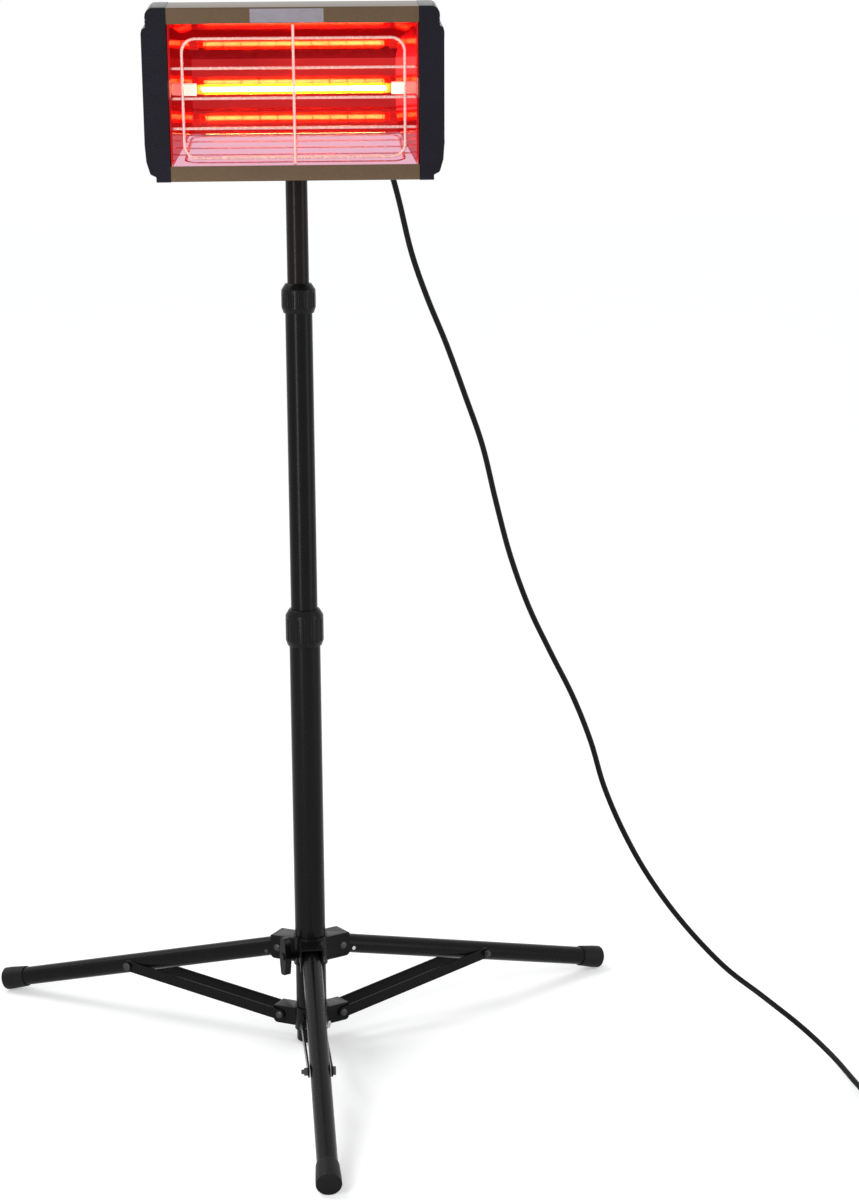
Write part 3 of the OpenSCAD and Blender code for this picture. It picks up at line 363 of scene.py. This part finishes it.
# Mains cord: its route from the strain relief to the coil, and the coil beside its end
CORD_D = 6.4 * MM
CORD_SIDES = 14
ROUTE_STEPS = 6
GLAND = Vector((98, -6, -34)) * MM
CORD_START = HEAD @ GLAND
CORD_DROP = HEAD @ (GLAND - Vector((0, 0, 12 * MM)))
COIL_X, COIL_Y, COIL_Z = 0.658, -0.292, 0.0043
COIL_R, COIL_PITCH, COIL_LIFT, COIL_TURNS, COIL_STEPS = 0.043, 0.007, 0.007, 5, 36
COIL_LEAD, COIL_TAIL = 0.012, 0.028
ROUTE = [
    (0.103, 0.002, 1.004), (0.112, 0.004, 0.970), (0.125, 0.006, 0.914), (0.142, 0.008, 0.864),
    (0.163, 0.011, 0.812), (0.184, 0.013, 0.753), (0.203, 0.016, 0.697), (0.218, 0.017, 0.633),
    (0.234, 0.018, 0.571), (0.255, 0.019, 0.511), (0.280, 0.020, 0.457), (0.306, 0.021, 0.404),
    (0.327, 0.022, 0.350), (0.343, 0.022, 0.295), (0.366, 0.020, 0.240), (0.395, 0.015, 0.187),
    (0.433, 0.002, 0.135), (0.479, -0.017, 0.087), (0.521, -0.041, 0.058), (0.560, -0.079, 0.034),
    (0.587, -0.127, 0.017), (0.602, -0.182, 0.008), (0.610, -0.220, 0.0052), (0.614, -0.250, 0.0044),
    (0.615, -0.270, 0.0043),
]


def coil_point(turns):
    """A point of the coil, which winds inward and then, one layer higher, outward."""
    half = COIL_TURNS / 2
    r = COIL_R - COIL_PITCH * (turns if turns < half else COIL_TURNS - turns)
    climb = min(max((turns - half + 0.25) * 2, 0), 1)
    turn = math.pi * (1 + 2 * turns)
    return Vector((COIL_X + r * math.cos(turn), COIL_Y + r * math.sin(turn), COIL_Z + COIL_LIFT * climb))


def add_cord():
    route = [CORD_START, CORD_DROP] + [Vector(p) for p in ROUTE]
    left = COIL_X - COIL_R
    path = smooth_path(route, ROUTE_STEPS)
    path.append(Vector((left, COIL_Y + COIL_LEAD, COIL_Z)))
    path += [coil_point(k / COIL_STEPS) for k in range(COIL_TURNS * COIL_STEPS + 1)]
    path += [Vector((left, COIL_Y - y, COIL_Z + COIL_LIFT)) for y in (COIL_LEAD, COIL_TAIL)]
    made = new_piece("mains_cord", tube_mesh("mains_cord", path, CORD_D / 2, CORD_SIDES), "cord_rubber", 60)
    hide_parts("cord_lead", "cord_coil")
    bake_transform(made)
    return made, path


cord, cord_path = add_cord()


# Points this near are joined, faces this near to flat are joined, and edges this sharp are rounded
SAME_POINT = 2e-6
FLAT, SHARP = math.radians(0.6), math.radians(38)


def from_node(name, body, source, bevel, segments=2):
    """A copy of a CAD node in place, with its flat faces joined and its sharp edges rounded."""
    joined = bmesh.new()
    joined.from_mesh(nodes[source].data)
    bmesh.ops.remove_doubles(joined, verts=joined.verts, dist=SAME_POINT)
    bmesh.ops.dissolve_limit(joined, angle_limit=FLAT, verts=joined.verts, edges=joined.edges)
    mesh = bpy.data.meshes.new(name)
    joined.to_mesh(mesh)
    joined.free()
    made = new_piece(name, mesh, slot_of[source])
    rounding = made.modifiers.new("rounding", "BEVEL")
    rounding.limit_method = "ANGLE"
    rounding.angle_limit = SHARP
    rounding.width = bevel
    rounding.segments = segments
    rounding.harden_normals = False
    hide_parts(source)
    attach(made, body)
    return made


# Pieces on the cord stay with its coil, which hangs from the swivel's side
plug = from_node("mains_plug", "swivel", "plug_body", bevel=1.2 * MM, segments=3)
pins = from_node("mains_plug_pins", "swivel", "plug_pins", bevel=0.3 * MM)
tie = from_node("cord_tie", "swivel", "coil_tie", bevel=0.2 * MM)
boot = from_node("cord_strain_relief", "head", "cord_boot", bevel=0.3 * MM)

# Rigid pieces with softened edges: body, node and width of the rounding in millimetres
ROUNDED = [
    ("hub", "hub_spider", 0.5), ("mast_base", "lower_spider", 0.5), ("hub_knob", "hub_wing_knob", 0.9),
    ("lower_collar", "lower_twist_collar", 0.45), ("upper_collar", "upper_twist_collar", 0.45),
    ("swivel", "tilt_socket", 0.8), ("socket_knob", "socket_wing_screw", 0.9),
    ("tilt_knob", "tilt_wing_nut", 0.9),
    ("head", "tilt_bracket", 0.4), ("head", "junction_box", 0.8), ("head", "junction_cover", 0.5),
    ("head", "switch_frame", 0.3), ("rocker", "switch_rocker", 0.3), ("head", "cable_gland", 0.4),
    ("head", "left_end_cap", 1.0), ("head", "right_end_cap", 1.0), ("head", "housing_shell", 0.5),
    ("head", "lamp_ends", 0.7), ("head", "lamp_holders", 0.7),
]
for side in ("front", "right", "left"):
    ROUNDED.append((f"leg_arm_{side}", f"foot_cap_{side}", 1.0))
    ROUNDED.append((f"brace_arm_{side}", f"brace_{side}", 0.35))
    ROUNDED.append((f"brace_arm_{side}", f"brace_bolts_{side}", 0.3))
for body, source, width in ROUNDED:
    from_node(f"{source}_rounded", body, source, bevel=width * MM)


# Lamp: quartz tube with pinched ends, and its coiled core
LAMP_LONG = 103 * MM
TUBE_R = 5.5 * MM
PINCH_LONG, PINCH_FLAT = 6 * MM, 0.62
COIL_TURN_COUNT, WIRE_TURN_R, WIRE_STEPS, WIRE_R, WIRE_SIDES = 110, 1.9 * MM, 10, 0.62 * MM, 6
SUPPORT_PITCH, SUPPORTS_EACH_SIDE = 19 * MM, 5


def on_head(piece, *replaced):
    """Puts a piece that was made in the head's frame on the head."""
    piece.data.transform(HEAD)
    if replaced:
        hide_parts(*replaced)
    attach(piece, "head")
    return piece


def lathe_x(name, profile, sides, squash=lambda x: 1.0):
    """A closed body turned about X from (x, radius) pairs, flattened along Y where squash is under 1."""
    verts, faces = [], []
    for i, (x, r) in enumerate(profile):
        for k in range(sides):
            turn = 2 * math.pi * k / sides
            verts.append((x, r * math.cos(turn) * squash(x), r * math.sin(turn)))
        for k in range(sides if i else 0):
            n = (k + 1) % sides
            here, last = i * sides, (i - 1) * sides
            faces.append((last + k, here + k, here + n, last + n))
    faces.append(tuple(range(sides)))
    faces.append(tuple(reversed(range(len(verts) - sides, len(verts)))))
    mesh = bpy.data.meshes.new(name)
    mesh.from_pydata(verts, [], faces)
    return mesh


def add_lamp_tube():
    """Quartz tube with flattened ends and the sealed tip of its filling hole."""
    ends = [(-LAMP_LONG, 0.0045), (-LAMP_LONG + 0.004, 0.0052), (-LAMP_LONG + 0.010, TUBE_R)]
    profile = ends + [(-x, r) for x, r in reversed(ends)]
    pinch = LAMP_LONG - PINCH_LONG
    mesh = lathe_x("quartz_tube", profile, 32, lambda x: 1.0 if abs(x) < pinch else PINCH_FLAT)
    tip = lathe_x("nipple", [(0.0045, 0.0024), (0.0062, 0.002), (0.0075, 0.0011), (0.0082, 0.0004)], 16)
    tip.transform(Matrix.Rotation(math.radians(90), 4, "Y"))
    joined = bmesh.new()
    joined.from_mesh(mesh)
    joined.from_mesh(tip)
    joined.to_mesh(mesh)
    joined.free()
    mesh.transform(Matrix.Translation((0, LAMP_Y, HEAD_RISE)))
    return on_head(new_piece("quartz_tube", mesh, "quartz"), "lamp_glass")


def add_filament():
    """Close coil of wire along the tube."""
    long, count = LAMP_LONG - PINCH_LONG, COIL_TURN_COUNT * WIRE_STEPS
    path = []
    for k in range(count + 1):
        turn = 2 * math.pi * k / WIRE_STEPS
        x = -long + 2 * long * k / count
        path.append((x, LAMP_Y + WIRE_TURN_R * math.cos(turn), HEAD_RISE + WIRE_TURN_R * math.sin(turn)))
    mesh = tube_mesh("filament_coil", path, WIRE_R, WIRE_SIDES)
    return on_head(new_piece("filament_coil", mesh, "filament", 60), "lamp_filament")


def add_supports():
    """Thin support rings that show as dark marks in the glow."""
    joined = bmesh.new()
    for k in range(-SUPPORTS_EACH_SIDE, SUPPORTS_EACH_SIDE + 1):
        ring = lathe_x("ring", [(-0.0004, 0.0049), (0.0004, 0.0049)], 24)
        ring.transform(Matrix.Translation((k * SUPPORT_PITCH, LAMP_Y, HEAD_RISE)))
        joined.from_mesh(ring)
    mesh = bpy.data.meshes.new("filament_supports")
    joined.to_mesh(mesh)
    joined.free()
    made = new_piece("filament_supports", mesh, "filament")
    made.data.materials[0] = glowing("support_metal", (1.0, 0.36, 0.03), 1.3)
    return on_head(made)


add_lamp_tube()
add_filament()
add_supports()


def sheet(name, outline, thick):
    """A thin flat sheet from an outline of points and a vector through its thickness."""
    count = len(outline)
    verts = list(outline) + [point + thick for point in outline]
    faces = [tuple(range(count)), tuple(reversed(range(count, 2 * count)))]
    faces += [(k, k + count, (k + 1) % count + count, (k + 1) % count) for k in range(count)]
    mesh = bpy.data.meshes.new(name)
    mesh.from_pydata(verts, [], faces)
    return mesh


def add_end_sheets():
    """Slanted mirror sheets that close the trough's ends, each with a window for the lamp."""
    front, wide, lean = FRONT_Y + 1.9 * MM, 127.5 * MM, 0.233
    window = ((43 * MM, 0), (43 * MM, 8 * MM), (57 * MM, 8 * MM), (57 * MM, 0))
    rim = ((80.6 * MM, 0), (80.6 * MM, 27.8 * MM), (69.2 * MM, 48.4 * MM), (0.5 * MM, 72.4 * MM))
    half = ((0.5 * MM, 0),) + window + rim
    for side in (-1, 1):
        joined = bmesh.new()
        for up in (-1, 1):
            points = [Vector((side * (wide - lean * d), front + d, HEAD_RISE + up * z)) for d, z in half]
            joined.from_mesh(sheet("half", points, Vector((side * 0.6 * MM, 0, 0))))
        bmesh.ops.recalc_face_normals(joined, faces=joined.faces)
        mesh = bpy.data.meshes.new("end_sheet")
        joined.to_mesh(mesh)
        joined.free()
        made = new_piece("end_sheet", mesh, "reflector_mirror")
        # The sheets take the mirror with painted red light and a painted red glow
        made.data.materials[0] = nodes["reflector_ends"].data.materials[0]
        on_head(made)


add_end_sheets()


def add_blank_plate():
    """Plain metal plate on the top bar, with rounded corners."""
    wide, high, corner, thick = 76 * MM, 14.2 * MM, 1.2 * MM, 0.4 * MM
    step, steps = 15, 7
    middle = Vector((-6 * MM, FRONT_Y - thick, HEAD_RISE + HEAD_H / 2 - BAR_H / 2 - 0.3 * MM))
    outline = []
    for sx, sz, start in ((1, 1, 0), (-1, 1, 90), (-1, -1, 180), (1, -1, 270)):
        for k in range(steps):
            turn = math.radians(start + step * k)
            outline.append((sx * (wide / 2 - corner) + corner * math.cos(turn),
                            sz * (high / 2 - corner) + corner * math.sin(turn)))
    points = [middle + Vector((x, 0, z)) for x, z in outline]
    mesh = sheet("blank_plate", points, Vector((0, thick, 0)))
    made = new_piece("blank_plate", mesh, "steel")
    made.data.materials[0] = surface("plate_metal", (0.24, 0.22, 0.25), 0.38, metal=0.6, grain=0.6 * MM,
                                     depth=0.1, vary=0.05, stretch=(0.05, 1, 1))
    return on_head(made)


add_blank_plate()


# Studio: a pale floor, white surroundings and soft lamps
WORLD_STRENGTH = 0.5
FLOOR_HALF = 14.0
FLOOR_LIFT = 0.36
STRIP_AIM = (0, 0, 0.75)


def seen_directly(tree, *more):
    """1 for rays from the camera and in gloss, and for any more kinds of ray, else 0."""
    path = add(tree, "ShaderNodeLightPath")
    value = path.outputs["Is Camera Ray"]
    for kind in ("Is Glossy Ray",) + more:
        either = add(tree, "ShaderNodeMath", operation="MAXIMUM")
        tree.links.new(value, either.inputs[0])
        tree.links.new(path.outputs[kind], either.inputs[1])
        value = either.outputs[0]
    return value


def white_to_camera(tree, shader_out, target):
    """Shows plain white to the camera, in gloss and through glass, and the shader otherwise."""
    seen = seen_directly(tree, "Is Transmission Ray")
    mix = add(tree, "ShaderNodeMixShader")
    white = add(tree, "ShaderNodeBackground", Strength=1.0)
    white.inputs["Color"].default_value = (1, 1, 1, 1)
    tree.links.new(seen, mix.inputs["Fac"])
    tree.links.new(shader_out, mix.inputs[1])
    tree.links.new(white.outputs[0], mix.inputs[2])
    tree.links.new(mix.outputs[0], target)


def add_world():
    """Even light from all round, which looks white."""
    world = bpy.data.worlds.new("studio")
    bpy.context.scene.world = world
    world.use_nodes = True
    tree = world.node_tree
    light = tree.nodes["Background"]
    light.inputs["Color"].default_value = (0.97, 0.98, 1.0, 1)
    light.inputs["Strength"].default_value = WORLD_STRENGTH
    white_to_camera(tree, light.outputs[0], tree.nodes["World Output"].inputs["Surface"])


def add_floor():
    """Pale floor. It adds plain white to what it scatters, so that it looks white and keeps the shadow."""
    mesh = bpy.data.meshes.new("floor")
    around = [(x * FLOOR_HALF, y * FLOOR_HALF, 0) for x, y in ((-1, -1), (1, -1), (1, 1), (-1, 1))]
    mesh.from_pydata(around, [], [(0, 1, 2, 3)])
    made = bpy.data.objects.new("floor", mesh)
    bpy.context.scene.collection.objects.link(made)
    material, tree, shader = clean_nodes("floor")
    shader.inputs["Base Color"].default_value = (0.86, 0.86, 0.86, 1)
    shader.inputs["Roughness"].default_value = 0.9
    shader.inputs["Specular IOR Level"].default_value = 0.0
    lift = add(tree, "ShaderNodeMath", operation="MULTIPLY")
    lift.inputs[1].default_value = FLOOR_LIFT
    tree.links.new(seen_directly(tree), lift.inputs[0])
    shader.inputs["Emission Color"].default_value = (1, 1, 1, 1)
    tree.links.new(lift.outputs[0], shader.inputs["Emission Strength"])
    made.data.materials.append(material)


def add_light(name, place, aim, power, kind="AREA", **values):
    """Lamp aimed at a point."""
    lamp = bpy.data.lights.new(name, kind)
    lamp.energy = power
    if kind == "AREA":
        lamp.shape = "RECTANGLE"
    for key, value in values.items():
        setattr(lamp, key, value)
    made = bpy.data.objects.new(name, lamp)
    made.location = place
    made.rotation_euler = (Vector(aim) - Vector(place)).to_track_quat("-Z", "Y").to_euler()
    bpy.context.scene.collection.objects.link(made)


add_world()
add_floor()
add_light("sky", (-1.6, 0.9, 2.8), (0, 0, 0), 0.95, kind="SUN", angle=math.radians(30))
add_light("left_strip", (-1.15, -2.10, 1.0), STRIP_AIM, 32, size=0.32, size_y=2.4)
add_light("right_strip", (2.1, -0.9, 1.0), STRIP_AIM, 14, size=0.9, size_y=2.4)
bpy.context.scene.view_settings.view_transform = "Standard"
